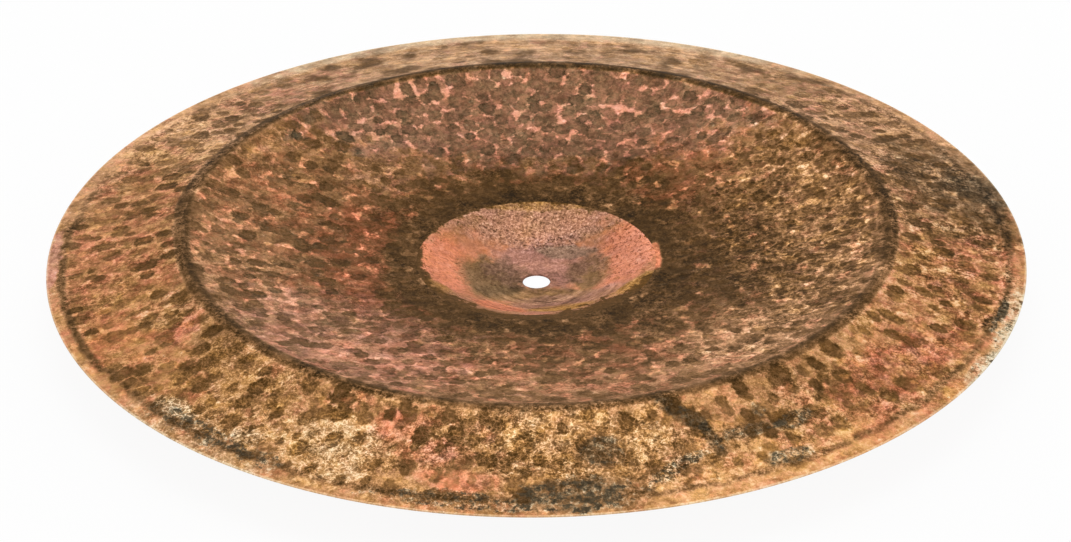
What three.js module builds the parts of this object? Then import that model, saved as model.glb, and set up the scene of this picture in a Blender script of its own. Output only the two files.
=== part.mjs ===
// A china cymbal, lying bell down as a wok lies on a table. Millimetres, +Z up, with the
// origin on the axis at the underside of the bell.
//
// The real cymbal is one plate of hammered bronze. Its three zones are kept as three solids
// that meet face to face: the bell is the cup in the middle, with the hole for the stand; the
// bow is the dish round it, which rises to the crease; the flange is the lip past the crease,
// which turns down again to the rim.
import * as THREE from "three";

// Sizes across the plate, from the hole outwards. They make the rim 457.2 mm, or 18 inches,
// across.
const HOLE_DIAMETER = 13;
const SEAT_DIAMETER = 25; // the flat ring round the hole, where the stand's felts press
const BELL_DIAMETER = 113.2;
const BOW_WIDTH = 109.1; // from the bell's edge to the crease
const FLANGE_WIDTH = 62.9; // from the crease to the rim

// Heights gained or lost by the middle of the plate from one of those places to the next.
const BELL_DEPTH = 12.3;
const BOW_RISE = 22.7;
const FLANGE_DROP = 12.7;

// The plate thins from the bell to the rim.
const SEAT_THICKNESS = 1.05;
const BELL_EDGE_THICKNESS = 0.9;
const CREASE_THICKNESS = 0.75;
const RIM_THICKNESS = 0.65;

// The bend along the crease, to the middle of the plate, and the broken edges of hole and rim.
const CREASE_BEND_RADIUS = 8.8;
const HOLE_EDGE_BREAK = 0.3;
const RIM_EDGE_BREAK = 0.2;

// How steeply the plate rises outwards, in radians.
const degrees = Math.PI / 180;
const BOW_SLOPE_AT_BELL = 4 * degrees;
const BOW_SLOPE_AT_CREASE = 26 * degrees;
const FLANGE_SLOPE_AT_CREASE = -16 * degrees;
const FLANGE_SLOPE_AT_RIM = -8 * degrees;

// How far each end's direction holds, as shares of the width of its stretch of plate.
const bellFloorShare = 0.5;
const bellLipShare = 0.2;
const bowFloorShare = 0.35;
const bowWallShare = 0.15;
const flangeEndShare = 1 / 3;

// The most that a broken edge takes off each corner, as a share of the plate's thickness there.
const edgeBreakShare = 1 / 3;

// Facets round the axis, and steps along each stretch of the section.
const FACETS = 72;
const BELL_STEPS = 9;
const BOW_STEPS = 9;
const BEND_STEPS = 3;
const FLANGE_STEPS = 6;

// A place on the plate: its distance from the axis, the height of the plate's middle, how
// steeply the plate rises outwards there, and its thickness.
const place = (radius, height, slope, thickness) => ({ radius, height, slope, thickness });

const hole = place(HOLE_DIAMETER / 2, SEAT_THICKNESS / 2, 0, SEAT_THICKNESS);
const seatEdge = place(SEAT_DIAMETER / 2, SEAT_THICKNESS / 2, 0, SEAT_THICKNESS);
const bellEdge = place(
  BELL_DIAMETER / 2,
  seatEdge.height + BELL_DEPTH,
  BOW_SLOPE_AT_BELL,
  BELL_EDGE_THICKNESS,
);
const crease = place(
  bellEdge.radius + BOW_WIDTH,
  bellEdge.height + BOW_RISE,
  0,
  CREASE_THICKNESS,
);
const rim = place(
  crease.radius + FLANGE_WIDTH,
  crease.height - FLANGE_DROP,
  FLANGE_SLOPE_AT_RIM,
  RIM_THICKNESS,
);

// The place on the round bend along the crease that has the given slope.
function onCreaseBend(slope) {
  return place(
    crease.radius - CREASE_BEND_RADIUS * Math.sin(slope),
    crease.height - CREASE_BEND_RADIUS * (1 - Math.cos(slope)),
    slope,
    crease.thickness,
  );
}

// The thickness at a radius between two places, thinning evenly from one to the other.
function thicknessBetween(from, to, radius) {
  const share = (radius - from.radius) / (to.radius - from.radius);
  return THREE.MathUtils.lerp(from.thickness, to.thickness, share);
}

// A smooth stretch of plate that leaves one place and reaches the next in their own directions.
function sweep(from, to, fromShare, toShare, steps) {
  const width = to.radius - from.radius;
  const start = new THREE.Vector2(from.radius, from.height);
  const end = new THREE.Vector2(to.radius, to.height);
  const leaving = new THREE.Vector2(1, Math.tan(from.slope)).multiplyScalar(fromShare * width);
  const arriving = new THREE.Vector2(1, Math.tan(to.slope)).multiplyScalar(toShare * width);
  const curve = new THREE.CubicBezierCurve(
    start,
    start.clone().add(leaving),
    end.clone().sub(arriving),
    end,
  );
  const places = [];
  for (let i = 1; i < steps; i++) {
    const point = curve.getPoint(i / steps);
    const tangent = curve.getTangent(i / steps);
    const slope = Math.atan2(tangent.y, tangent.x);
    places.push(place(point.x, point.y, slope, thicknessBetween(from, to, point.x)));
  }
  return [from, ...places, to];
}

// The bend along the crease from one slope to another, without its first place.
function creaseBend(fromSlope, toSlope) {
  const places = [];
  for (let i = 1; i <= BEND_STEPS; i++) {
    places.push(onCreaseBend(THREE.MathUtils.lerp(fromSlope, toSlope, i / BEND_STEPS)));
  }
  return places;
}

// A point off a place: so far outwards along the plate, and so far up through its thickness.
function offset(at, along, through) {
  return new THREE.Vector2(
    at.radius + along * Math.cos(at.slope) - through * Math.sin(at.slope),
    at.height + along * Math.sin(at.slope) + through * Math.cos(at.slope),
  );
}

const upperFace = (at) => offset(at, 0, at.thickness / 2);
const lowerFace = (at) => offset(at, 0, -at.thickness / 2);

// The end of the plate at a place, from the lower face to the upper one. A broken end is cut
// back by its break at both corners, and inwards is the way back into the plate: 1 or -1.
function plainEnd(at) {
  return [lowerFace(at), upperFace(at)];
}

function brokenEnd(at, edgeBreak, inwards) {
  const half = at.thickness / 2;
  const cut = Math.min(edgeBreak, at.thickness * edgeBreakShare);
  return [
    offset(at, inwards * cut, -half),
    offset(at, 0, cut - half),
    offset(at, 0, half - cut),
    offset(at, inwards * cut, half),
  ];
}

// A zone of the plate turned round the axis, from its inner end to its outer one.
function turned(places, innerEnd, outerEnd) {
  const between = places.slice(1, -1);
  const section = [
    ...between.map(lowerFace),
    ...outerEnd,
    ...between.map(upperFace).reverse(),
    ...innerEnd.reverse(),
  ];
  section.push(section[0].clone());
  return new THREE.LatheGeometry(section, FACETS).rotateX(Math.PI / 2);
}

// The cup: a flat seat round the hole, then a wall that curves up to the bell's edge.
function bellGeometry() {
  const wall = sweep(seatEdge, bellEdge, bellFloorShare, bellLipShare, BELL_STEPS);
  return turned([hole, ...wall], brokenEnd(hole, HOLE_EDGE_BREAK, 1), plainEnd(bellEdge));
}

// The dish: nearly flat where it leaves the bell, and steepest where it meets the crease.
function bowGeometry() {
  const dishEdge = onCreaseBend(BOW_SLOPE_AT_CREASE);
  const dish = sweep(bellEdge, dishEdge, bowFloorShare, bowWallShare, BOW_STEPS);
  const bend = creaseBend(BOW_SLOPE_AT_CREASE, crease.slope);
  return turned([...dish, ...bend], plainEnd(bellEdge), plainEnd(crease));
}

// The lip: over the crease, then down to the rim, flattening on the way.
function flangeGeometry() {
  const lipStart = onCreaseBend(FLANGE_SLOPE_AT_CREASE);
  const bend = creaseBend(crease.slope, FLANGE_SLOPE_AT_CREASE);
  const lip = sweep(lipStart, rim, flangeEndShare, flangeEndShare, FLANGE_STEPS);
  return turned(
    [crease, ...bend, ...lip.slice(1)],
    plainEnd(crease),
    brokenEnd(rim, RIM_EDGE_BREAK, -1),
  );
}

// Raw bronze with its fire scale: coral in the cup, dark brown on the dish, tan on the lip.
function bronze(color, roughness, metalness) {
  return new THREE.MeshStandardMaterial({ color, roughness, metalness });
}

function zone(name, geometry, material) {
  const mesh = new THREE.Mesh(geometry, material);
  mesh.name = name;
  return mesh;
}

const cymbal = new THREE.Group();
cymbal.name = "china_cymbal";
cymbal.add(
  zone("bell", bellGeometry(), bronze(0xb9806a, 0.45, 0.6)),
  zone("bow", bowGeometry(), bronze(0x85684f, 0.55, 0.5)),
  zone("flange", flangeGeometry(), bronze(0xa37c58, 0.55, 0.5)),
);

export default cymbal;
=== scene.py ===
import math

import bpy
import numpy as np
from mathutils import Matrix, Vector


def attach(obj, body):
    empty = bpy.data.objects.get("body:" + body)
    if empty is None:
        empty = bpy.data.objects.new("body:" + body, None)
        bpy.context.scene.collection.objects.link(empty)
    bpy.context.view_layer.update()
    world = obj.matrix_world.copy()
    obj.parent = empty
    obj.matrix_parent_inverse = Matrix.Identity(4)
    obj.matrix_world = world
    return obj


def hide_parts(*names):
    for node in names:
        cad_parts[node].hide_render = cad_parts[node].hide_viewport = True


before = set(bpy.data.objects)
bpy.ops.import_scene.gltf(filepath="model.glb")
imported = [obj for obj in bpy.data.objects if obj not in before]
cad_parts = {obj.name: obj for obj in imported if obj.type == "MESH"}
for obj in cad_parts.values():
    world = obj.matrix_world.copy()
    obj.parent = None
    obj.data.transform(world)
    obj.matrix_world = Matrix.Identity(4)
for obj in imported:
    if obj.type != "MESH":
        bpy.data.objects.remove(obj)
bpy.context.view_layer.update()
mm = 0.001

# Camera: the photograph's own view, from the near side and 29 degrees above the rim, through a
# long lens. The cymbal's axis falls a little right of the middle, and the picture leans by half
# a degree.
picture_width = 1071
focal_pixels = 2919
film_width = 36
camera_place = (-0.0004, -1.2011, 0.6933)
camera_pitch = math.radians(29.76)
camera_lean = math.radians(-0.52)

camera_data = bpy.data.cameras.new("camera")
camera_data.sensor_width = film_width
camera_data.lens = focal_pixels * film_width / picture_width
camera = bpy.data.objects.new("camera", camera_data)
camera.location = camera_place
camera.rotation_mode = "ZYX"
camera.rotation_euler = (math.pi / 2 - camera_pitch, 0, camera_lean)
bpy.context.scene.collection.objects.link(camera)
bpy.context.scene.camera = camera
bpy.context.scene.view_settings.view_transform = "Standard"


# Studio: a white sweep under and round the cymbal, a wide softbox overhead, another behind and a
# smaller one at each side. The camera and the bronze's gloss see the sweep as white.
class Signal:
    """What comes out of a node's socket. Arithmetic on it adds Math nodes to its tree."""

    def __init__(self, socket):
        self.socket = socket
        self.tree = socket.id_data

    def __add__(self, other):
        return calc("ADD", self, other)

    def __radd__(self, other):
        return calc("ADD", other, self)

    def __sub__(self, other):
        return calc("SUBTRACT", self, other)

    def __rsub__(self, other):
        return calc("SUBTRACT", other, self)

    def __mul__(self, other):
        return calc("MULTIPLY", self, other)

    def __truediv__(self, other):
        return calc("DIVIDE", self, other)

    def __rtruediv__(self, other):
        return calc("DIVIDE", other, self)

    def __pow__(self, other):
        return calc("POWER", self, other)


def feed(value, socket):
    """Links a signal to a socket, or writes a plain value there."""
    if isinstance(value, Signal):
        value.tree.links.new(value.socket, socket)
    else:
        socket.default_value = value


def add(tree, kind, inputs=None, **settings):
    """A new node of that kind, with its settings made and its inputs fed."""
    node = tree.nodes.new(kind)
    for name, value in settings.items():
        setattr(node, name, value)
    for name, value in (inputs or {}).items():
        feed(value, node.inputs[name])
    return node


def signals(node):
    """What a node puts out, by the names of its outputs."""
    return {output.name: Signal(output) for output in node.outputs}


def tree_of(values):
    """The tree that the first signal among some values belongs to."""
    return next(value.tree for value in values if isinstance(value, Signal))


def calc(operation, *values, clamp=False):
    """A Math node's result."""
    node = add(tree_of(values), "ShaderNodeMath", dict(enumerate(values)), operation=operation,
               use_clamp=clamp)
    return Signal(node.outputs[0])


def shown(tree, output_kind, lit, seen, seen_share):
    """Ends a tree: one shader lights the cymbal, and rays that see it see another instead."""
    rays = signals(add(tree, "ShaderNodeLightPath"))
    seeing = calc("MAXIMUM", rays["Is Camera Ray"], rays["Is Glossy Ray"])
    seeing = calc("MAXIMUM", seeing, rays["Is Transmission Ray"]) * seen_share
    mix = add(tree, "ShaderNodeMixShader",
              {"Fac": seeing, 1: Signal(lit.outputs[0]), 2: Signal(seen.outputs[0])})
    add(tree, output_kind, {"Surface": Signal(mix.outputs[0])})


sweep_radius = 6.0
sweep_corners = 96
floor_white_share = 0.9
floor_white = 1.03
world_light = 0.48
world_white_share = 1
white = (1, 1, 1, 1)
paper_white = (0.85, 0.85, 0.85, 1)

floor_mesh = bpy.data.meshes.new("floor")
floor_angles = [2 * math.pi * i / sweep_corners for i in range(sweep_corners)]
floor_mesh.from_pydata(
    [(sweep_radius * math.cos(angle), sweep_radius * math.sin(angle), 0) for angle in floor_angles],
    [],
    [range(sweep_corners)],
)
floor = bpy.data.objects.new("floor", floor_mesh)
bpy.context.scene.collection.objects.link(floor)

paper = bpy.data.materials.new("white_paper")
paper.use_nodes = True
paper.node_tree.nodes.clear()
matt = add(paper.node_tree, "ShaderNodeBsdfDiffuse", {"Color": paper_white})
glow = add(paper.node_tree, "ShaderNodeEmission", {"Color": white, "Strength": floor_white})
shown(paper.node_tree, "ShaderNodeOutputMaterial", matt, glow, floor_white_share)
floor_mesh.materials.append(paper)

world = bpy.data.worlds.new("studio")
world.use_nodes = True
world.node_tree.nodes.clear()
room = add(world.node_tree, "ShaderNodeBackground", {"Color": white, "Strength": world_light})
backdrop = add(world.node_tree, "ShaderNodeBackground", {"Color": white})
shown(world.node_tree, "ShaderNodeOutputWorld", room, backdrop, world_white_share)
bpy.context.scene.world = world


def softbox(name, place, size, power):
    """A square lamp that faces the cymbal."""
    lamp = bpy.data.lights.new(name, "AREA")
    lamp.shape = "SQUARE"
    lamp.size = size
    lamp.energy = power
    lamp_object = bpy.data.objects.new(name, lamp)
    lamp_object.location = place
    lamp_object.rotation_euler = Vector(place).to_track_quat("Z", "Y").to_euler()
    bpy.context.scene.collection.objects.link(lamp_object)


softbox("softbox_overhead", place=(0, 0.2, 2.0), size=1.4, power=9)
softbox("softbox_behind", place=(0, 1.9, 0.95), size=1.3, power=5)
softbox("softbox_left", place=(-1.8, -0.5, 1.0), size=0.9, power=2)
softbox("softbox_right", place=(1.8, -0.5, 1.0), size=0.9, power=2)


# Bell: the cup in the middle, pressed into the plate, with the drilled hole for the stand. Its
# bronze is smooth and kept the coral fire scale of the furnace, with brown and mauve stains.
weld = 1e-6
corner_digits = 7
flat_normal = 0.8
sharp_angle = math.radians(30)
zones = ("bell", "bow", "flange")


def corners_of(node, side):
    """The corners of a CAD zone's section as (radius, height), of its upper face, side 1, or of
    its lower face, side -1, or of its ends, side 0."""
    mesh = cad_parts[node].data
    lines = {1: set(), -1: set(), 0: set()}
    for polygon in mesh.polygons:
        tilt = polygon.normal.z
        face = 0 if abs(tilt) < flat_normal else int(math.copysign(1, tilt))
        for index in polygon.vertices:
            x, y, z = mesh.vertices[index].co
            if abs(y) < weld and x > 0:
                lines[face].add((round(x, corner_digits), round(z, corner_digits)))
    if side == 0:
        return sorted(lines[0] - lines[1] - lines[-1], key=lambda corner: corner[1])
    return sorted(lines[side])


def smooth_line(side):
    """The height of the plate's upper or lower face at any radius, through the CAD's corners."""
    corners = np.array(sorted({c for zone in zones for c in corners_of(zone, side)}))
    keep = np.append(np.diff(corners[:, 0]) > weld, True)
    radii, heights = corners[keep].T
    steps, rises = np.diff(radii), np.diff(heights)
    before, after = (rises / steps)[:-1], (rises / steps)[1:]
    same_way = before * after > 0
    shared = 2 * before * after / np.where(same_way, before + after, 1)
    slopes = np.concatenate([before[:1], np.where(same_way, shared, 0), after[-1:]])

    def height(radius):
        i = np.clip(np.searchsorted(radii, radius) - 1, 0, len(steps) - 1)
        t = (radius - radii[i]) / steps[i]
        bend = t * (1 - t) * ((1 - t) * (slopes[i] * steps[i] - rises[i])
                              - t * (slopes[i + 1] * steps[i] - rises[i]))
        return heights[i] + rises[i] * t + bend

    return height


face_height = {1: smooth_line(1), -1: smooth_line(-1)}
seam_fine = 5 * mm
seam_step = 0.5 * mm


def stations(node, side, step):
    """Places along one face of a zone, closer together by its ends, as (radius, height)."""
    corners = corners_of(node, side)
    inner, outer = corners[0][0], corners[-1][0]
    fine = round(seam_fine / seam_step)
    middle = round((outer - inner - 2 * seam_fine) / step)
    radii = np.concatenate([
        np.linspace(inner, inner + seam_fine, fine, endpoint=False),
        np.linspace(inner + seam_fine, outer - seam_fine, middle, endpoint=False),
        np.linspace(outer - seam_fine, outer, fine + 1),
    ])
    return np.stack([radii, face_height[side](radii)], axis=1)


def turned(node, columns, upper_step, lower_step):
    """A zone of the plate, turned round the axis from its CAD section, as one closed mesh."""
    inner_radius = corners_of(node, 1)[0][0]
    ends = corners_of(node, 0)
    outer_end = [corner for corner in ends if corner[0] > inner_radius]
    inner_end = [corner for corner in ends if corner[0] <= inner_radius]
    section = np.array([
        *stations(node, -1, lower_step),
        *outer_end,
        *stations(node, 1, upper_step)[::-1],
        *inner_end[::-1],
    ])
    count = len(section)
    angles = np.arange(columns) * 2 * math.pi / columns
    points = np.stack([
        np.outer(np.cos(angles), section[:, 0]),
        np.outer(np.sin(angles), section[:, 0]),
        np.broadcast_to(section[:, 1], (columns, count)),
    ], axis=-1)
    column, row = np.meshgrid(np.arange(columns), np.arange(count), indexing="ij")
    next_column, next_row = (column + 1) % columns, (row + 1) % count
    faces = np.stack([
        column * count + row,
        next_column * count + row,
        next_column * count + next_row,
        column * count + next_row,
    ], axis=-1)
    mesh = bpy.data.meshes.new(node + "_bronze")
    mesh.from_pydata(points.reshape(-1, 3).tolist(), [], faces.reshape(-1, 4).tolist())
    mesh.shade_smooth()
    mesh.set_sharp_from_angle(angle=sharp_angle)
    piece = bpy.data.objects.new(node + "_bronze", mesh)
    bpy.context.scene.collection.objects.link(piece)
    return piece


def vector_calc(operation, *values, scale=None):
    """A Vector Math node's result."""
    inputs = dict(enumerate(values))
    if scale is not None:
        inputs["Scale"] = scale
    node = add(tree_of(values), "ShaderNodeVectorMath", inputs, operation=operation)
    return Signal(node.outputs["Value" if operation in ("LENGTH", "DOT_PRODUCT") else "Vector"])


def combine(x, y, z):
    """A vector from its three parts."""
    node = add(tree_of((x, y, z)), "ShaderNodeCombineXYZ", {"X": x, "Y": y, "Z": z})
    return Signal(node.outputs[0])


def noise(place, size, seed, detail=2.0, roughness=0.6):
    """A noise whose largest grains are about that size; it lies between 0 and 1."""
    inputs = {"Vector": place, "W": seed, "Scale": 1 / size, "Detail": detail, "Roughness": roughness}
    return Signal(add(place.tree, "ShaderNodeTexNoise", inputs, noise_dimensions="4D").outputs[0])


def spun_place(place, radius, round_plate):
    """A place that gives noise in rings, like a lathe's: a noise read there changes with the
    radius, and only slowly round the plate."""
    around = vector_calc("SCALE", vector_calc("NORMALIZE", place), scale=round_plate)
    return vector_calc("ADD", around, combine(0, 0, radius))


def swing(value, amount):
    """A noise made to swing either side of nothing by an amount."""
    return (value - 0.5) * amount


def between(value, low, high):
    """0 where a value is at its low end, 1 at its high end, and smooth between them."""
    node = add(value.tree, "ShaderNodeMapRange", {"Value": value, "From Min": low, "From Max": high},
               interpolation_type="SMOOTHSTEP")
    return Signal(node.outputs["Result"])


def covered(under, over, share):
    """One value where a share is 0, and another where it is 1."""
    return under * (1 - share) + over * share


# the Mix node's sockets for colours
under_socket, over_socket, mixed_socket = 6, 7, 2


def overlay(share, under, over):
    """One colour laid over another."""
    node = add(share.tree, "ShaderNodeMix", {"Factor": share, under_socket: under, over_socket: over},
               data_type="RGBA")
    return Signal(node.outputs[mixed_socket])


def rgb(red, green, blue):
    """A colour as it looks on a screen, from 0 to 255, as a socket's linear value."""
    def linear(value):
        value = value / 255
        return value / 12.92 if value <= 0.04045 else ((value + 0.055) / 1.055) ** 2.4
    return linear(red), linear(green), linear(blue), 1.0


def tones(value, *colours):
    """Colours from the darkest to the lightest, read by a value from 0 to 1."""
    node = add(value.tree, "ShaderNodeValToRGB", {0: value})
    stops = node.color_ramp.elements
    while len(stops) < len(colours):
        stops.new(0.5)
    for i, colour in enumerate(colours):
        stops[i].position = i / (len(colours) - 1)
        stops[i].color = rgb(*colour)
    return Signal(node.outputs[0])


def group_of(name, inputs, outputs, tree_kind="ShaderNodeTree", **kinds):
    """An empty group, the signals handed to it, and the sockets that take its results. Inputs
    and outputs are numbers, but for those whose kind is given."""
    tree = bpy.data.node_groups.new(name, tree_kind)
    for way, labels in (("INPUT", inputs), ("OUTPUT", outputs)):
        for label in labels:
            kind = "NodeSocket" + kinds.get(label, "Float")
            tree.interface.new_socket(label, in_out=way, socket_type=kind)
    return tree, signals(add(tree, "NodeGroupInput")), add(tree, "NodeGroupOutput").inputs


def use(group, **values):
    """A group placed in a material, with values named after its sockets, and what it puts out."""
    inputs = {label.replace("_", " ").title(): value for label, value in values.items()}
    return signals(add(tree_of(values.values()), "ShaderNodeGroup", inputs, node_tree=group))


# The colours of raw cymbal bronze under its fire scale and oxide, each from its darkest to its
# lightest: plain tan, coral, gold, mauve and burnt ash.
scale_group, given, result = group_of(
    "fire_scale_colour", ("Lightness", "Coral", "Gold", "Mauve", "Ash"), ("Colour",), Colour="Color",
)
plain_tan = ((44, 30, 9), (86, 60, 28), (123, 87, 50), (163, 117, 73), (212, 158, 111), (246, 212, 169))
families = {
    "Coral": ((56, 32, 10), (102, 58, 28), (148, 82, 48), (196, 112, 74), (238, 148, 106), (248, 194, 158)),
    "Gold": ((48, 34, 6), (92, 62, 20), (134, 92, 40), (184, 132, 60), (230, 174, 96), (246, 216, 160)),
    "Mauve": ((62, 44, 34), (100, 70, 56), (140, 96, 82), (180, 126, 110), (216, 160, 144), (240, 208, 194)),
    "Ash": ((40, 34, 22), (70, 59, 42), (106, 91, 68), (150, 131, 100), (206, 186, 150), (240, 226, 198)),
}
colour = tones(given["Lightness"], *plain_tan)
for label, family in families.items():
    share = calc("MINIMUM", calc("MAXIMUM", given[label], 0), 1)
    colour = overlay(share, colour, tones(given["Lightness"], *family))
feed(colour, result["Colour"])

# One stain: an oval with a torn edge, turned on the plate. Its length and width are taken from
# its middle to its edge: it is whole inside a share of them, and gone outside another.
whole_share = 0.7
gone_share = 1.25
stain_group, given, result = group_of(
    "stain", ("Place", "Centre", "Length", "Width", "Turn", "Tear"), ("Mask",),
    Place="Vector", Centre="Vector",
)
offset = vector_calc("SUBTRACT", given["Place"], given["Centre"])
turned_back = add(stain_group, "ShaderNodeVectorRotate", {"Vector": offset, "Angle": given["Turn"]},
                  rotation_type="Z_AXIS", invert=True)
shrunk = vector_calc("DIVIDE", Signal(turned_back.outputs[0]),
                     combine(given["Length"], given["Width"], 1))
reach = vector_calc("LENGTH", shrunk) + given["Tear"]
feed(between(reach, gone_share, whole_share), result["Mask"])


def stain(x, y, length, width, turn=0, **added):
    """A stain's place and size in millimetres, its turn in degrees, and what it adds."""
    return x, y, length, width, turn, added


def stained(flat, tear, start, stains):
    """The colour values of a zone after its stains, on top of those that it starts with."""
    values = dict(start)
    for x, y, length, width, turn, added in stains:
        mask = use(stain_group, place=flat, tear=tear, centre=(x * mm, y * mm, 0),
                   turn=math.radians(turn), length=length * mm, width=width * mm)["Mask"]
        for label, amount in added.items():
            values[label] = calc("MULTIPLY_ADD", mask, amount, values[label])
    return values


dull_specular = 0.02


def bronze_material(name):
    """A new material, its shader, and a point's place on the flattened plate and its radius."""
    material = bpy.data.materials.new(name)
    material.use_nodes = True
    shader = material.node_tree.nodes["Principled BSDF"]
    shader.inputs["Specular IOR Level"].default_value = dull_specular
    place = signals(add(material.node_tree, "ShaderNodeTexCoord"))["Object"]
    flat = vector_calc("MULTIPLY", place, (1, 1, 0))
    return material, shader, flat, vector_calc("LENGTH", flat)


def finish(shader, colour, bareness, metallic, roughness, height, depth):
    """Colour, shine and fine relief on a shader. Metallic and roughness are each given as what
    crusted bronze has, and what bareness adds."""
    feed(colour, shader.inputs["Base Color"])
    feed(metallic[0] + bareness * metallic[1], shader.inputs["Metallic"])
    feed(roughness[0] + bareness * roughness[1], shader.inputs["Roughness"])
    relief = add(height.tree, "ShaderNodeBump", {"Height": height, "Distance": depth})
    feed(Signal(relief.outputs[0]), shader.inputs["Normal"])


bell = turned("bell", columns=420, upper_step=1.0 * mm, lower_step=2.0 * mm)
bell_material, shader, flat, radius = bronze_material("bell_coral_scale")
tear = swing(noise(flat, 9 * mm, seed=1, detail=4, roughness=0.65), 1.6)
cloud = noise(flat, 15 * mm, seed=2)
hue = noise(flat, 9 * mm, seed=10, detail=3, roughness=0.65)
grain = noise(flat, 2.6 * mm, seed=3, detail=4, roughness=0.8)
spun = noise(spun_place(flat, radius, 4 * mm), 2.2 * mm, seed=4, detail=3, roughness=0.7)
# lightness and the four hues colour the scale; speckle, pepper and streaks are its grain, dark dots
# and spun lines; tears and spared move the bow's crust over the lip and off it, in millimetres
start = dict(
    lightness=0.65 + swing(cloud, 0.25),
    coral=0.55 + swing(cloud, 1.2),
    mauve=0.1 + swing(hue, 1.0),
    gold=swing(hue, -0.6),
    ash=0.0, speckle=0.2, pepper=0.06, streaks=0.15, tears=0.0, spared=0.0,
)
values = stained(flat, tear, start, (
    # the coral lobes of fire scale at the left and the right, painted lighter as the side lamps' light on
    # the walls
    stain(-43, 0, 13, 24, coral=0.6, lightness=0.08, speckle=0.1, pepper=0.1),
    stain(43, 12, 15, 26, -12, coral=0.6, mauve=0.15, lightness=0.07, pepper=0.42, speckle=0.2),
    # where the bow's crust spares the lip on the right
    stain(56, 3, 9, 17, spared=8.0),
    stain(46, 32, 16, 16, -35, spared=8.0),
    # the speckled tan of the far wall, gold along its lip, and a darker arc across it
    stain(-4, 43, 46, 16, -4, coral=-0.3, mauve=0.35, speckle=0.7, pepper=0.3, lightness=-0.01, ash=0.1),
    stain(0, 55, 40, 5, gold=0.7, coral=-0.6, mauve=-0.2, lightness=-0.04),
    stain(20, 33, 20, 4, 8, lightness=-0.05, speckle=0.3, pepper=0.4, coral=-0.3, mauve=0.2),
    stain(-14, 34, 22, 5, -10, pepper=0.3),
    # the mauve floor, with a blue grey streak on its right
    stain(2, 12, 28, 20, mauve=0.7, coral=-0.4, lightness=-0.07, speckle=0.3, streaks=0.15),
    stain(14, 24, 13, 5, -15, mauve=0.25, ash=0.5, lightness=-0.06),
    # olive stains: the large one left of the hole, its tail below, the round one on the right, and
    # a darker floor round the hole
    stain(-21, 1, 16, 18, 20, lightness=-0.17, coral=-0.9, mauve=-0.25, ash=0.3, pepper=0.3),
    stain(-4, -14, 28, 9, -4, lightness=-0.06, coral=-0.8, mauve=-0.1, ash=0.15, gold=0.2, streaks=0.4),
    stain(25, 5, 11, 14, lightness=-0.17, coral=-0.8, mauve=-0.25, gold=0.05, ash=0.2),
    stain(4, -4, 14, 13, lightness=-0.1),
    # brown and mauve below the hole
    stain(14, -21, 28, 8, 8, lightness=-0.04, coral=-0.5, mauve=0.35, streaks=0.3),
    # the near wall's streaks in mauve and tan, and gold along its two ends
    stain(6, -35, 56, 18, 4, streaks=0.5, mauve=0.25, gold=0.25, coral=-0.3, lightness=-0.03, pepper=0.3),
    stain(47, -22, 14, 6, 35, gold=0.9, coral=-0.8, mauve=-0.5, lightness=-0.1, speckle=0.6),
    stain(-46, -24, 9, 5, -45, gold=0.6, coral=-0.6, lightness=-0.1),
    # coral left on the near wall, and gold between
    stain(-18, -32, 13, 8, -12, coral=0.8, mauve=-0.3, gold=-0.3, lightness=0.1),
    stain(0, -44, 7, 8, coral=0.6, gold=-0.2, lightness=0.05),
    stain(12, -32, 14, 6, 4, gold=1.2, coral=-0.9, mauve=-0.4, lightness=-0.03),
    stain(36, -33, 12, 6, 35, coral=0.5, mauve=0.2, lightness=0.08),
    # where the bow's crust tears furthest over the near wall
    stain(28, -43, 24, 15, 22, tears=22.0),
    stain(-38, -39, 12, 8, 40, tears=10.0),
    stain(-4, -53, 14, 6, tears=9.0),
))
speck = noise(flat, 1.25 * mm, seed=5, detail=3, roughness=0.7)
speckled = (swing(speck, 1.3) + swing(grain, 0.7)) * values["speckle"]
pepper = between(noise(flat, 1.8 * mm, seed=7, detail=4, roughness=0.8), 0.53, 0.61)
peppered = 1 - pepper * values["pepper"]
streaked = swing(spun, 1.2) * values["streaks"]
# the crust of the bow, which tears over the bell's edge, furthest on the near side
crust_starts = 52.5 * mm
crust_closes = 54.8 * mm
near_side_share = 0.05
ragged = swing(noise(flat, 11 * mm, seed=6, detail=6, roughness=0.72), 22 * mm)
near_side = vector_calc("DOT_PRODUCT", flat, (0, -near_side_share, 0))
bites = between(noise(flat, 7 * mm, seed=9, detail=4, roughness=0.65), 0.4, 0.56)
torn_in = values["tears"] * (bites * mm)
spared = values["spared"] * -mm
lip = between(radius + ragged + near_side + torn_in + spared, crust_starts, crust_closes)
# crumbs of the crust on the wall, denser towards the lip
crumb = between(noise(flat, 3.2 * mm, seed=8, detail=4, roughness=0.8), 0.62, 0.55)
crumbs = between(radius, 42 * mm, 54 * mm) * (1 - crumb)
lip = calc("MAXIMUM", lip, crumbs * 0.8)
clean = (values["lightness"] + speckled + streaked + swing(grain, 0.4)) * peppered
crust = 0.25 + swing(grain, 0.7) + swing(speck, 0.3)
lightness = covered(clean, crust, lip)
colour = use(scale_group, lightness=lightness, coral=values["coral"] - lip, gold=values["gold"],
             mauve=values["mauve"] - lip, ash=values["ash"])["Colour"]
finish(shader, colour, bareness=between(lightness, 0.25, 0.75), metallic=(0.15, 0.4),
       roughness=(0.58, -0.16), height=grain + spun, depth=0.05 * mm)
bell.data.materials.append(bell_material)
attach(bell, "root")
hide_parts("bell")


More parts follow.
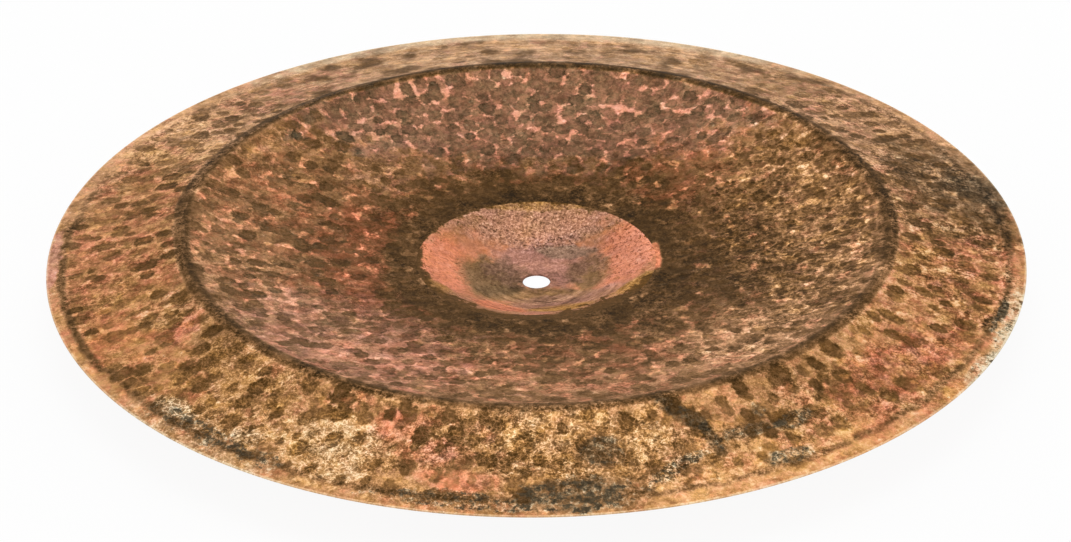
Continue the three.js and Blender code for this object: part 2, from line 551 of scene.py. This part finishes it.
# Bow: the dish round the bell, hammered in rows from the bell's edge out to the crease. Oxide
# fills the hammer marks, and the coral and gold of the plate show as a net between them.
def random_value(low, high, seed, index=None):
    """A random number or vector for each blow."""
    is_vector = isinstance(low, tuple)
    first = 0 if is_vector else 2
    inputs = {first: low, first + 1: high, "Seed": seed}
    if index is not None:
        inputs["ID"] = index
    node = add(tree_of((seed, index)), "FunctionNodeRandomValue", inputs,
               data_type="FLOAT_VECTOR" if is_vector else "FLOAT")
    return Signal(node.outputs[0 if is_vector else 1])


# One pass of the hammer: its blows follow a spiral, so that each has the same share of the plate,
# and each strays a little. Reach is how far a place is from its nearest blow, in blow radii; an
# oval blow is longer outwards than round the plate.
blow_sizes = ("First Radius", "Last Radius", "Pitch", "Stray", "Blow Radius", "Spread", "Oval")
size_seed = 7
tone_seed = 11
pass_group, given, result = group_of(
    "hammer_pass", ("Place", *blow_sizes, "Seed"), ("Reach", "Tone"), "GeometryNodeTree",
    Place="Vector", Seed="Int",
)
first_area = given["First Radius"] ** 2
last_area = given["Last Radius"] ** 2
share = given["Pitch"] ** 2 / math.pi
blow_count = (last_area - first_area) / share
index = Signal(add(pass_group, "GeometryNodeInputIndex").outputs[0])
blow_place = calc("SQRT", first_area + index * share)
angle = (blow_place - given["First Radius"]) / given["Pitch"] * (2 * math.pi)
spiral = vector_calc("SCALE", combine(calc("COSINE", angle), calc("SINE", angle), 0), scale=blow_place)
strayed = random_value((-1, -1, 0), (1, 1, 0), given["Seed"])
strayed = vector_calc("SCALE", strayed, scale=given["Stray"])
blows = Signal(add(pass_group, "GeometryNodePoints", {
    "Count": blow_count, "Position": vector_calc("ADD", spiral, strayed),
}).outputs[0])
nearest = signals(add(pass_group, "GeometryNodeSampleNearest", {
    "Geometry": blows, "Sample Position": given["Place"],
}, domain="POINT"))["Index"]
struck = Signal(add(pass_group, "GeometryNodeSampleIndex", {
    "Geometry": blows,
    "Value": Signal(add(pass_group, "GeometryNodeInputPosition").outputs[0]),
    "Index": nearest,
}, data_type="FLOAT_VECTOR", domain="POINT").outputs[0])
offset = vector_calc("SUBTRACT", given["Place"], struck)
outward = vector_calc("NORMALIZE", given["Place"])
stretch = vector_calc("DOT_PRODUCT", offset, outward) * given["Oval"]
offset = vector_calc("SUBTRACT", offset, vector_calc("SCALE", outward, scale=stretch))
blow_radius = (1 + random_value(-1.0, 1.0, size_seed, nearest) * given["Spread"]) * given["Blow Radius"]
feed(vector_calc("LENGTH", offset) / blow_radius, result["Reach"])
feed(random_value(0.0, 1.0, tone_seed, nearest), result["Tone"])

# The hammering of a zone: two passes over each other, the second with a smaller hammer, and the
# swells that they leave. The marks are kept on the mesh for the oxide that fills them.
second_hammer_share = 0.83
lightest_blow = 0.4
hammering, given, result = group_of(
    "hammering", ("Plate", *blow_sizes, "Depth", "Swell", "Swell Size", "Fade", "Seed", "Bronze"),
    ("Plate",), "GeometryNodeTree", Plate="Geometry", Seed="Int", Bronze="Material",
)
flat = vector_calc("MULTIPLY", Signal(add(hammering, "GeometryNodeInputPosition").outputs[0]), (1, 1, 0))
plate = given["Plate"]
dents = 0.0
for name, scale, seed in (("first", 1.0, 0), ("second", second_hammer_share, 1)):
    scaled = {label: given[label] * scale for label in ("Pitch", "Stray", "Blow Radius")}
    shared = {label: given[label] for label in blow_sizes if label not in scaled}
    blow = signals(add(hammering, "GeometryNodeGroup", {
        "Place": flat, "Seed": given["Seed"] + seed, **scaled, **shared,
    }, node_tree=pass_group))
    bowl = calc("SUBTRACT", 1, blow["Reach"] ** 2, clamp=True)
    force = lightest_blow + blow["Tone"] * (1 - lightest_blow)
    dents = dents + bowl ** 2 * force
    for label in ("Reach", "Tone"):
        plate = Signal(add(hammering, "GeometryNodeStoreNamedAttribute", {
            "Geometry": plate, "Name": name + "_" + label.lower(), "Value": blow[label],
        }, data_type="FLOAT", domain="POINT").outputs[0])
swell = swing(noise(flat, given["Swell Size"], given["Seed"], roughness=0.5), given["Swell"])
radius = vector_calc("LENGTH", flat)
from_end = calc("MINIMUM", radius - given["First Radius"], given["Last Radius"] - radius)
sunk = (dents * given["Depth"] + swell) * between(from_end, 0.0, given["Fade"])
sink = add(hammering, "GeometryNodeSetPosition", {"Geometry": plate, "Offset": combine(0, 0, sunk * -1)})
real = add(hammering, "GeometryNodeRealizeInstances", {0: Signal(sink.outputs[0])})
dress = add(hammering, "GeometryNodeSetMaterial",
            {"Geometry": Signal(real.outputs[0]), "Material": given["Bronze"]})
feed(Signal(dress.outputs[0]), result["Plate"])


def hammer(piece, **values):
    """Hammers a piece with its own values, and leaves it a plain mesh."""
    modifier = piece.modifiers.new("hammering", "NODES")
    modifier.node_group = hammering
    for item in hammering.interface.items_tree:
        label = item.name.replace(" ", "_").lower()
        if item.in_out == "INPUT" and label in values:
            modifier[item.identifier] = values[label]
    graph = bpy.context.evaluated_depsgraph_get()
    hammered = bpy.data.meshes.new_from_object(piece.evaluated_get(graph), depsgraph=graph)
    piece.modifiers.remove(modifier)
    piece.data = hammered


# The skin of hammered bronze: grained scale with bright islands, dark blots and pale threads, and
# oxide in the hammer marks, which is darkest along their edges.
skin_group, given, result = group_of(
    "hammered_skin",
    ("Place", "Lightness", "Coral", "Gold", "Mauve", "Ash", "Mark Darkness", "Mark Evenness", "Mark Ash",
     "Grain", "Islands", "Blots", "Smudges", "Threads", "Net", "Streaks", "Char"),
    ("Colour", "Bareness", "Height"), Place="Vector", Colour="Color",
)
place = given["Place"]
# the oxide in the marks of both passes: torn at its edge, worn through in places, and darkest
# along the brink
brink_reach = 0.75
second_strength = 0.75
edge = swing(noise(place, 4.5 * mm, seed=11, detail=5, roughness=0.8), 2.25)
worn = noise(place, 3 * mm, seed=22, detail=3, roughness=0.8)
marks = 0.0
for name, strength in (("first", 1.0), ("second", second_strength)):
    reach, tone = (
        signals(add(skin_group, "ShaderNodeAttribute", attribute_name=name + measure))["Fac"]
        for measure in ("_reach", "_tone")
    )
    torn = reach + edge
    shade = calc("MAXIMUM", between(tone, 0.2, 0.88), given["Mark Evenness"])
    shade = shade * (0.85 + swing(worn, 1.6))
    brink = between(calc("ABSOLUTE", torn - brink_reach), 0.35, 0.05)
    shade = shade * (0.9 + brink * 0.2)
    marks = calc("MAXIMUM", marks, between(torn, 1.08, 0.66) * shade * strength)
# what lies between the marks: clouds, blotches and grain, and what each zone has its own share of
cloud = noise(place, 24 * mm, seed=12, detail=1)
blotch = noise(place, 8 * mm, seed=13)
grain = noise(place, 2.2 * mm, seed=14, detail=4, roughness=0.9)
flake = between(grain, 0.42, 0.58)
rough_patch = between(noise(place, 16 * mm, seed=15, detail=1), 0.38, 0.62)
island = between(noise(place, 8 * mm, seed=18, detail=3, roughness=0.5), 0.57, 0.63)
blot = between(noise(place, 6.5 * mm, seed=19, detail=4), 0.56, 0.62)
smudge = between(noise(place, 20 * mm, seed=24, detail=3, roughness=0.5), 0.5, 0.64)
thread = calc("ABSOLUTE", swing(noise(place, 2.8 * mm, seed=20), 2))
thread = between(thread, 0.11, 0.02)
net = calc("ABSOLUTE", swing(noise(place, 6.5 * mm, seed=23, detail=4, roughness=0.65), 2))
net = between(net, 0.17, 0.0) * between(worn, 0.3, 0.6)
spun = spun_place(place, vector_calc("LENGTH", place), 50 * mm)
streak = noise(spun, 3.5 * mm, seed=21, detail=3)
graininess = (0.6 + rough_patch * 0.8) * given["Grain"]
fine = swing(grain, 0.6) + swing(flake, 0.26)
lightness = given["Lightness"] + (
    swing(cloud, 0.4) + swing(blotch, 0.5) + fine * graininess
    + swing(streak, 1.0) * given["Streaks"] + island * given["Islands"]
)
# the lightest scale is held back, and what is dark covers it
dazzling = 0.72
lightness = lightness + calc("MAXIMUM", lightness - dazzling, 0) * -0.45
for mask, amount in ((blot, given["Blots"]), (smudge, given["Smudges"]), (marks, given["Mark Darkness"])):
    lightness = lightness * (1 - mask * amount)
lightness = lightness + thread * given["Threads"] + net * given["Net"]
# burnt crust, frosted with pale ash along its edges
crust = noise(place, 3.5 * mm, seed=25, detail=5, roughness=0.85) + swing(streak, 0.3) + given["Char"]
char = between(crust, 0.64, 0.78) * 0.9
frost = between(crust, 0.56, 0.64) * between(worn, 0.48, 0.6)
lightness = covered(lightness + frost * 0.16, 0.24 + swing(grain, 0.55), char)
# one noise wanders from coral to gold and another from mauve to ash, and the marks are browner
hue = noise(place, 12 * mm, seed=16, detail=4, roughness=0.75)
other_hue = noise(place, 9 * mm, seed=17, detail=4, roughness=0.75)
colour = use(
    scale_group,
    lightness=lightness,
    coral=given["Coral"] + swing(hue, 2.4) + marks * -0.5 + island * 0.25,
    gold=given["Gold"] + swing(hue, -2.0) + island * 0.2 + marks * 0.1,
    mauve=given["Mauve"] + swing(other_hue, 1.6) + marks * -0.2,
    ash=given["Ash"] + swing(other_hue, -1.4) + marks * given["Mark Ash"] + char + frost * 0.45,
)["Colour"]
feed(colour, result["Colour"])
feed(between(lightness, 0.2, 0.75), result["Bareness"])
feed(grain + blotch * 0.8, result["Height"])

# A ring of oxide that the fire and the lathe left round the plate, with a torn edge.
ring_group, given, result = group_of(
    "oxide_ring", ("Radius", "Middle", "Half Width", "Softness", "Tear"), ("Mask",),
)
off = calc("ABSOLUTE", given["Radius"] - given["Middle"]) + given["Tear"] * given["Softness"]
inner = given["Half Width"] - given["Softness"]
outer = given["Half Width"] + given["Softness"]
feed(between(off, outer, inner), result["Mask"])


def oxidised(values, mask, darkness):
    """The colour values with brown oxide where a mask is: darker, without coral, gold or mauve."""
    oxide = dict(values, lightness=values["lightness"] * (1 - mask * darkness))
    for label in ("coral", "gold", "mauve"):
        oxide[label] = values[label] - mask
    return oxide


def creased(values, radius, tear, middle):
    """The colour values with the oxide that lies along the crease, as dark and as far out as its
    stains say."""
    shifted = radius + values.pop("crease_shift") * -mm
    ring = use(ring_group, radius=shifted, middle=middle, half_width=3.4 * mm, softness=1.2 * mm,
               tear=tear)["Mask"]
    return oxidised(values, ring, values.pop("crease_line"))


def dress_hammered(shader, flat, values):
    """The skin of a hammered zone: bare bronze shines a little, and oxide is dull."""
    skin = use(skin_group, place=flat, **values)
    finish(shader, skin["Colour"], skin["Bareness"], metallic=(0.2, 0.5), roughness=(0.6, -0.18),
           height=skin["Height"], depth=0.12 * mm)


bow = turned("bow", columns=800, upper_step=1.5 * mm, lower_step=7.0 * mm)
bow_material, shader, flat, radius = bronze_material("bow_hammered_oxide")
tear = swing(noise(flat, 14 * mm, seed=21, detail=4, roughness=0.65), 1.6)
# the mark values are for the oxide in the hammer marks; islands, threads and net are bright, blots
# and smudges dark, and char is burnt; the crease values are how dark and how far out its oxide is
start = dict(
    lightness=0.26 + between(radius, 60 * mm, 135 * mm) * 0.29,
    coral=0.15, gold=-0.1, mauve=0.0, ash=-0.1,
    mark_darkness=0.52, mark_evenness=0.3, mark_ash=-0.3,
    grain=0.7, islands=0.22, blots=0.25, smudges=0.0, threads=0.05, net=0.06, streaks=0.2, char=0.0,
    crease_line=0.56, crease_shift=0.0,
)
# the oxide along the crease: darkest on the far side and the right, faintest on the near side,
# and further out on the far left
crease_stains = (
    stain(0, 150, 190, 60, crease_line=0.14),
    stain(165, 50, 40, 80, crease_line=0.06),
    stain(10, -165, 90, 30, crease_line=-0.14),
    stain(-150, 76, 100, 34, 62, crease_shift=2.0),
    stain(166, 30, 20, 56, crease_line=0.12),
    stain(83, -143, 40, 22, 30, crease_line=-0.08),
)
values = stained(flat, tear, start, crease_stains + (
    # a coral and mauve net with little grain all round the far side
    stain(0, 128, 150, 44, coral=0.45, gold=-0.6, mauve=0.4, ash=0.05, grain=-0.15, islands=-0.04,
          lightness=0.21, mark_darkness=0.17, mark_evenness=0.5, mark_ash=0.9),
    # orange islands between dark marks on the left, and coral on the near left
    stain(-115, 10, 46, 80, coral=0.2, gold=-0.1, islands=0.14, grain=-0.15, mark_darkness=0.16,
          mark_evenness=0.15, mark_ash=0.5, lightness=0.04, net=0.05),
    stain(-85, -95, 60, 50, -45, coral=0.15, mauve=0.3, mark_darkness=0.12, mark_ash=0.4, lightness=0.07),
    # a darker far left, with a lighter mauve place inside it
    stain(-100, 95, 34, 40, 40, coral=-0.15, lightness=-0.05, gold=0.1),
    stain(-72, 78, 26, 20, 45, lightness=0.07, mauve=0.15),
    # a grainy net on the near right, and dark blots and islands right of the bell
    stain(95, -95, 40, 26, 45, net=0.14, mark_darkness=0.2, grain=0.2, coral=-0.1, lightness=0.06,
          islands=0.1),
    stain(104, 0, 22, 60, lightness=-0.08, blots=0.15),
    stain(72, 76, 44, 30, -45, lightness=-0.04, islands=0.18, coral=0.2, blots=0.22, grain=-0.1),
    stain(110, 82, 30, 36, -45, lightness=0.07),
    # coral left of the bell, and streaks on the near side
    stain(-78, -6, 30, 50, coral=0.35, lightness=0.02),
    stain(0, -110, 90, 36, lightness=0.04, coral=0.2, streaks=0.2, blots=0.15, grain=-0.15, islands=0.06,
          mark_darkness=0.06),
    # cream threads over olive on the right, and a dark olive patch
    stain(125, 10, 40, 95, net=0.31, threads=0.03, coral=-0.1, gold=0.15, lightness=-0.12, blots=0.25,
          smudges=0.2, mark_darkness=0.18, islands=0.12, grain=-0.12),
    stain(80, -30, 26, 30, lightness=-0.07, ash=0.2),
    # coral that reaches past the bell's edge on its right
    stain(56.5, 2, 3.0, 14, lightness=0.5, coral=1.9, mauve=0.5, mark_darkness=-0.4, blots=-0.3),
))
by_bell = use(ring_group, radius=radius, middle=60 * mm, half_width=9 * mm, softness=5 * mm,
              tear=tear)["Mask"]
values = oxidised(values, by_bell, 0.25)
values = creased(values, radius, tear, middle=165.7 * mm)
dress_hammered(shader, flat, values)
hammer(bow, first_radius=57 * mm, last_radius=164 * mm, pitch=8.2 * mm, stray=2.8 * mm,
       blow_radius=4.5 * mm, spread=0.3, oval=0.1, depth=0.2 * mm, swell=0.5 * mm,
       swell_size=28 * mm, fade=6 * mm, seed=3, bronze=bow_material)
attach(bow, "root")
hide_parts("bow")


# Flange: the lip past the crease, hammered in rows and left smooth in a band along the rim. It is
# tan and gold with separate dark hammer marks, and burnt in places along the near side.
flange = turned("flange", columns=800, upper_step=1.2 * mm, lower_step=2.6 * mm)
flange_material, shader, flat, radius = bronze_material("flange_tan_bronze")
tear = swing(noise(flat, 12 * mm, seed=31, detail=4, roughness=0.65), 1.6)
start = dict(
    lightness=0.63,
    coral=0.0, gold=0.1, mauve=-0.1, ash=-0.1,
    mark_darkness=0.7, mark_evenness=0.1, mark_ash=-0.1,
    grain=0.95, islands=0.14, blots=0.26, smudges=0.0, threads=0.07, net=0.06, streaks=0.15, char=0.0,
    crease_line=0.56, crease_shift=0.0, rim_line=0.3, rim_shift=0.0, far_rim=0.0,
)
scorch = dict(char=0.14, ash=0.3, coral=-0.5)
values = stained(flat, tear, start, crease_stains + (
    # the pale net of threads over the near side, in cream and gold
    stain(8, -186, 62, 22, threads=0.16, gold=0.1, ash=0.15, coral=-0.2, lightness=-0.1, blots=0.1,
          mark_darkness=-0.08),
    stain(-86, -184, 24, 20, -26, threads=0.2, gold=0.2, ash=0.3, coral=-0.5, lightness=0.02),
    # the burnt patch at the near rim, its speckled tail, and the round one above it
    stain(14, -216, 28, 10, 3, char=0.2, lightness=-0.16, ash=0.3, coral=-0.3, gold=-0.2),
    stain(57, -199, 18, 4, 43, char=0.16, lightness=-0.12, ash=0.2, threads=0.15, grain=0.5),
    stain(26, -191, 9, 8, lightness=-0.22, char=0.13, ash=0.2, gold=-0.3),
    stain(-38, -217, 38, 5.5, -11, char=0.16, lightness=-0.12, ash=0.1, threads=0.15, rim_line=0.3),
    # the scorched scar that runs in from the crease, and the dark band and blots beside it
    stain(60, -168, 15, 5, -38, lightness=-0.3, **scorch),
    stain(73, -182, 9, 3.5, -65, lightness=-0.24, **scorch),
    stain(89, -174, 17, 3.5, 27, lightness=-0.18, **scorch),
    stain(107, -166, 10, 5, 33, lightness=-0.16, **scorch),
    stain(93, -162, 4, 6, 27, lightness=-0.16, **scorch),
    stain(105, -188, 13, 4.5, 28, lightness=-0.1, char=0.18, ash=0.4, coral=-0.3, threads=0.1),
    stain(120, -145, 11, 2, 80, lightness=-0.26, coral=-0.4),
    # orange gold with faint marks along the near right rim
    stain(104, -192, 60, 14, 28, gold=0.2, coral=0.15, lightness=0.06, grain=-0.1, mark_darkness=-0.25,
          streaks=0.3),
    stain(150, -140, 60, 26, 46, rim_line=0.05, grain=0.05, coral=0.3, lightness=-0.01, islands=0.08,
          mark_darkness=-0.2, mauve=0.05),
    stain(180, -137, 12, 5, 53, gold=0.3, coral=0.4, lightness=0.03),
    # charcoal along the near left rim, and cream patches inside it
    stain(-148, -166, 46, 12, -42, rim_line=0.1, ash=0.25, threads=0.1),
    stain(-146, -162, 26, 6, -42, char=0.17, lightness=-0.05, grain=-0.2),
    stain(-116, -186, 16, 5.5, -34, char=0.16, lightness=-0.05, grain=-0.2),
    stain(-155, -147, 11, 5, -45, lightness=0.08, ash=0.3, coral=-0.5, threads=0.2),
    stain(-122, -171, 8, 5, -35, lightness=0.04, ash=0.3, coral=-0.5, threads=0.2),
    # gold threads, a dark blot and coral on the near left
    stain(-132, -140, 34, 28, -45, coral=-0.1, gold=0.15, threads=0.12, blots=0.15, lightness=-0.07,
          grain=-0.15),
    stain(-142, -105, 9, 7, -30, lightness=-0.16, coral=-0.4),
    stain(-172, -115, 40, 22, -56, coral=0.25, gold=0.1, grain=-0.3, threads=-0.05, mark_darkness=-0.1),
    stain(-155, -92, 12, 7, 60, coral=0.6, mauve=0.2, lightness=0.05),
    # cream and charcoal on the right rim
    stain(194, -118, 18, 5, 58, lightness=0.1, ash=0.6, char=0.1, grain=0.5, blots=0.3),
    stain(213, -72, 26, 6, 71, lightness=0.16, ash=0.5, rim_line=0.2, char=0.1, grain=0.6, blots=0.4),
    stain(206, -97, 20, 4.5, 65, lightness=0.12, ash=0.5, char=0.09, grain=0.5, blots=0.3),
    stain(210, -70, 8, 2.5, 71, lightness=-0.45, ash=0.5, coral=-0.5, char=0.1),
    stain(202, -84, 7, 3, 67, lightness=-0.35, ash=0.5, coral=-0.5, char=0.1),
    # smooth coral at the right end, and a darker rim beyond it
    stain(222, -23, 6, 21, 6, lightness=0.02, coral=0.3, gold=0.1, grain=-0.4, blots=-0.2),
    stain(219, 14, 7, 28, -4, rim_line=0.35, blots=0.2, lightness=-0.07),
    stain(214, 46, 16, 18, 12, lightness=-0.13, ash=0.3),
    # orange ground with crisp dark marks round the right end
    stain(180, -72, 66, 34, 68, coral=0.3, gold=0.15, ash=-0.4, lightness=0.06, mark_darkness=0.02,
          mark_evenness=0.1, mauve=0.12, grain=-0.05, islands=0.08),
    stain(181, -34, 9, 10, lightness=0.04, gold=0.2, coral=0.1, smudges=-0.3),
    # coral patches on the near side, pink and mauve further right
    stain(-34, -206, 24, 6, -9, coral=0.3, mauve=0.12, gold=-0.2, threads=-0.06, lightness=0.09,
          mark_darkness=-0.3, grain=-0.3),
    stain(-42, -190, 34, 22, -12, coral=0.3, mauve=0.1, gold=-0.2, ash=-0.1, lightness=-0.02),
    stain(-40, -190, 7, 8, coral=0.4, mauve=0.2, gold=-0.3, lightness=0.03),
    stain(-56, -174, 15, 9, -17, coral=0.4, mauve=0.15, gold=-0.2, lightness=0.03),
    stain(-78, -156, 13, 6, -26, coral=0.4, mauve=0.15, gold=-0.2, lightness=0.03),
    stain(154, -128, 44, 16, 50, coral=0.2, mauve=0.1, lightness=-0.1),
    # brown orange on the left, mauve at its rim
    stain(-190, -20, 30, 84, coral=0.45, gold=0.1, lightness=-0.04, islands=0.06, grain=-0.15, net=0.04,
          mark_darkness=0.06, mark_evenness=0.2, ash=-0.3),
    stain(-186, 38, 24, 26, 10, lightness=-0.07, ash=0.1),
    stain(-225, -18, 4, 26, mauve=0.6, coral=0.3),
    # the line along the rim: darker and further out at both ends, and none on the far left
    stain(-210, -60, 20, 72, 12, rim_line=0.2, rim_shift=2.2),
    stain(-185, 115, 50, 66, rim_line=-0.7),
    stain(218, 0, 14, 70, rim_line=0.12, rim_shift=1.2, lightness=-0.02, ash=0.06),
    # smoky olive and grey on the far left
    stain(-180, 62, 24, 36, 20, coral=0.1, gold=0.2, streaks=0.35, ash=-0.1),
    stain(-182, 106, 16, 44, 30, ash=0.1, gold=0.1, streaks=0.6, mark_darkness=-0.1, lightness=0.04),
    # dark olive and grainy on the right
    stain(190, 0, 40, 80, grain=0.4, net=0.12, coral=0.2, islands=0.1, smudges=0.2, blots=0.2,
          lightness=-0.12, mark_darkness=0.08, mark_evenness=0.1),
    stain(200, 50, 26, 50, 14, lightness=-0.11, ash=0.25, coral=-0.5, streaks=0.5, grain=-0.3),
    # pink brown beside the crease at both ends of the far side
    stain(-125, 145, 50, 24, 42, coral=0.3, mauve=0.15, lightness=-0.04),
    stain(125, 145, 50, 24, -42, coral=0.2, mauve=0.1, gold=0.1, lightness=-0.07),
    # streaked tan all along the far side, paled with ash tint as a painted reflection of the white backdrop,
    # and a smooth rim with more of that painted reflection
    stain(0, 195, 200, 80, ash=0.2, coral=-0.05, gold=0.1, mark_darkness=-0.46, grain=-0.6, blots=-0.2,
          smudges=0.5, streaks=0.5, islands=-0.08, net=-0.06, lightness=-0.02),
    stain(0, 215, 190, 60, rim_line=-0.6, far_rim=1.0),
))
values = creased(values, radius, tear, middle=165.4 * mm)
wander = swing(noise(flat, 16 * mm, seed=33, detail=3, roughness=0.65), 7 * mm)
wandering = radius + (wander + values.pop("rim_shift") * -mm)
rim_line = use(ring_group, radius=wandering, middle=219.8 * mm, half_width=1.7 * mm,
               softness=1.3 * mm, tear=tear)["Mask"]
rim_band = use(ring_group, radius=wandering, middle=225.5 * mm, half_width=4.4 * mm,
               softness=0.8 * mm, tear=tear)["Mask"]
# the far rim: smooth, and paled with ash and lightness as a painted reflection of the white backdrop
far_rim = between(radius, 214 * mm, 223 * mm) * values.pop("far_rim")
# a painted highlight: a pale line along the rim's outer edge
painted_edge_highlight = between(radius, 227.4 * mm, 228.2 * mm)
broken = between(noise(flat, 6 * mm, seed=32, detail=3, roughness=0.7), 0.3, 0.5)
line_darkness = calc("MAXIMUM", values.pop("rim_line"), 0) * broken
for mask, added in (
    (rim_band, dict(lightness=0.01, mark_darkness=-0.4, grain=-0.45, blots=-0.15)),
    (far_rim, dict(lightness=0.06, ash=0.5, smudges=-0.5, mark_darkness=-0.4, streaks=-0.45)),
    (painted_edge_highlight, dict(lightness=0.2, ash=0.4)),
):
    for label, amount in added.items():
        values[label] = values[label] + mask * amount
values = oxidised(values, rim_line * line_darkness, 1.0)
dress_hammered(shader, flat, values)
hammer(flange, first_radius=168 * mm, last_radius=218 * mm, pitch=10.5 * mm, stray=3.4 * mm,
       blow_radius=3.7 * mm, spread=0.35, oval=0.34, depth=0.2 * mm, swell=0.6 * mm,
       swell_size=28 * mm, fade=6 * mm, seed=8, bronze=flange_material)
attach(flange, "root")
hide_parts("flange")
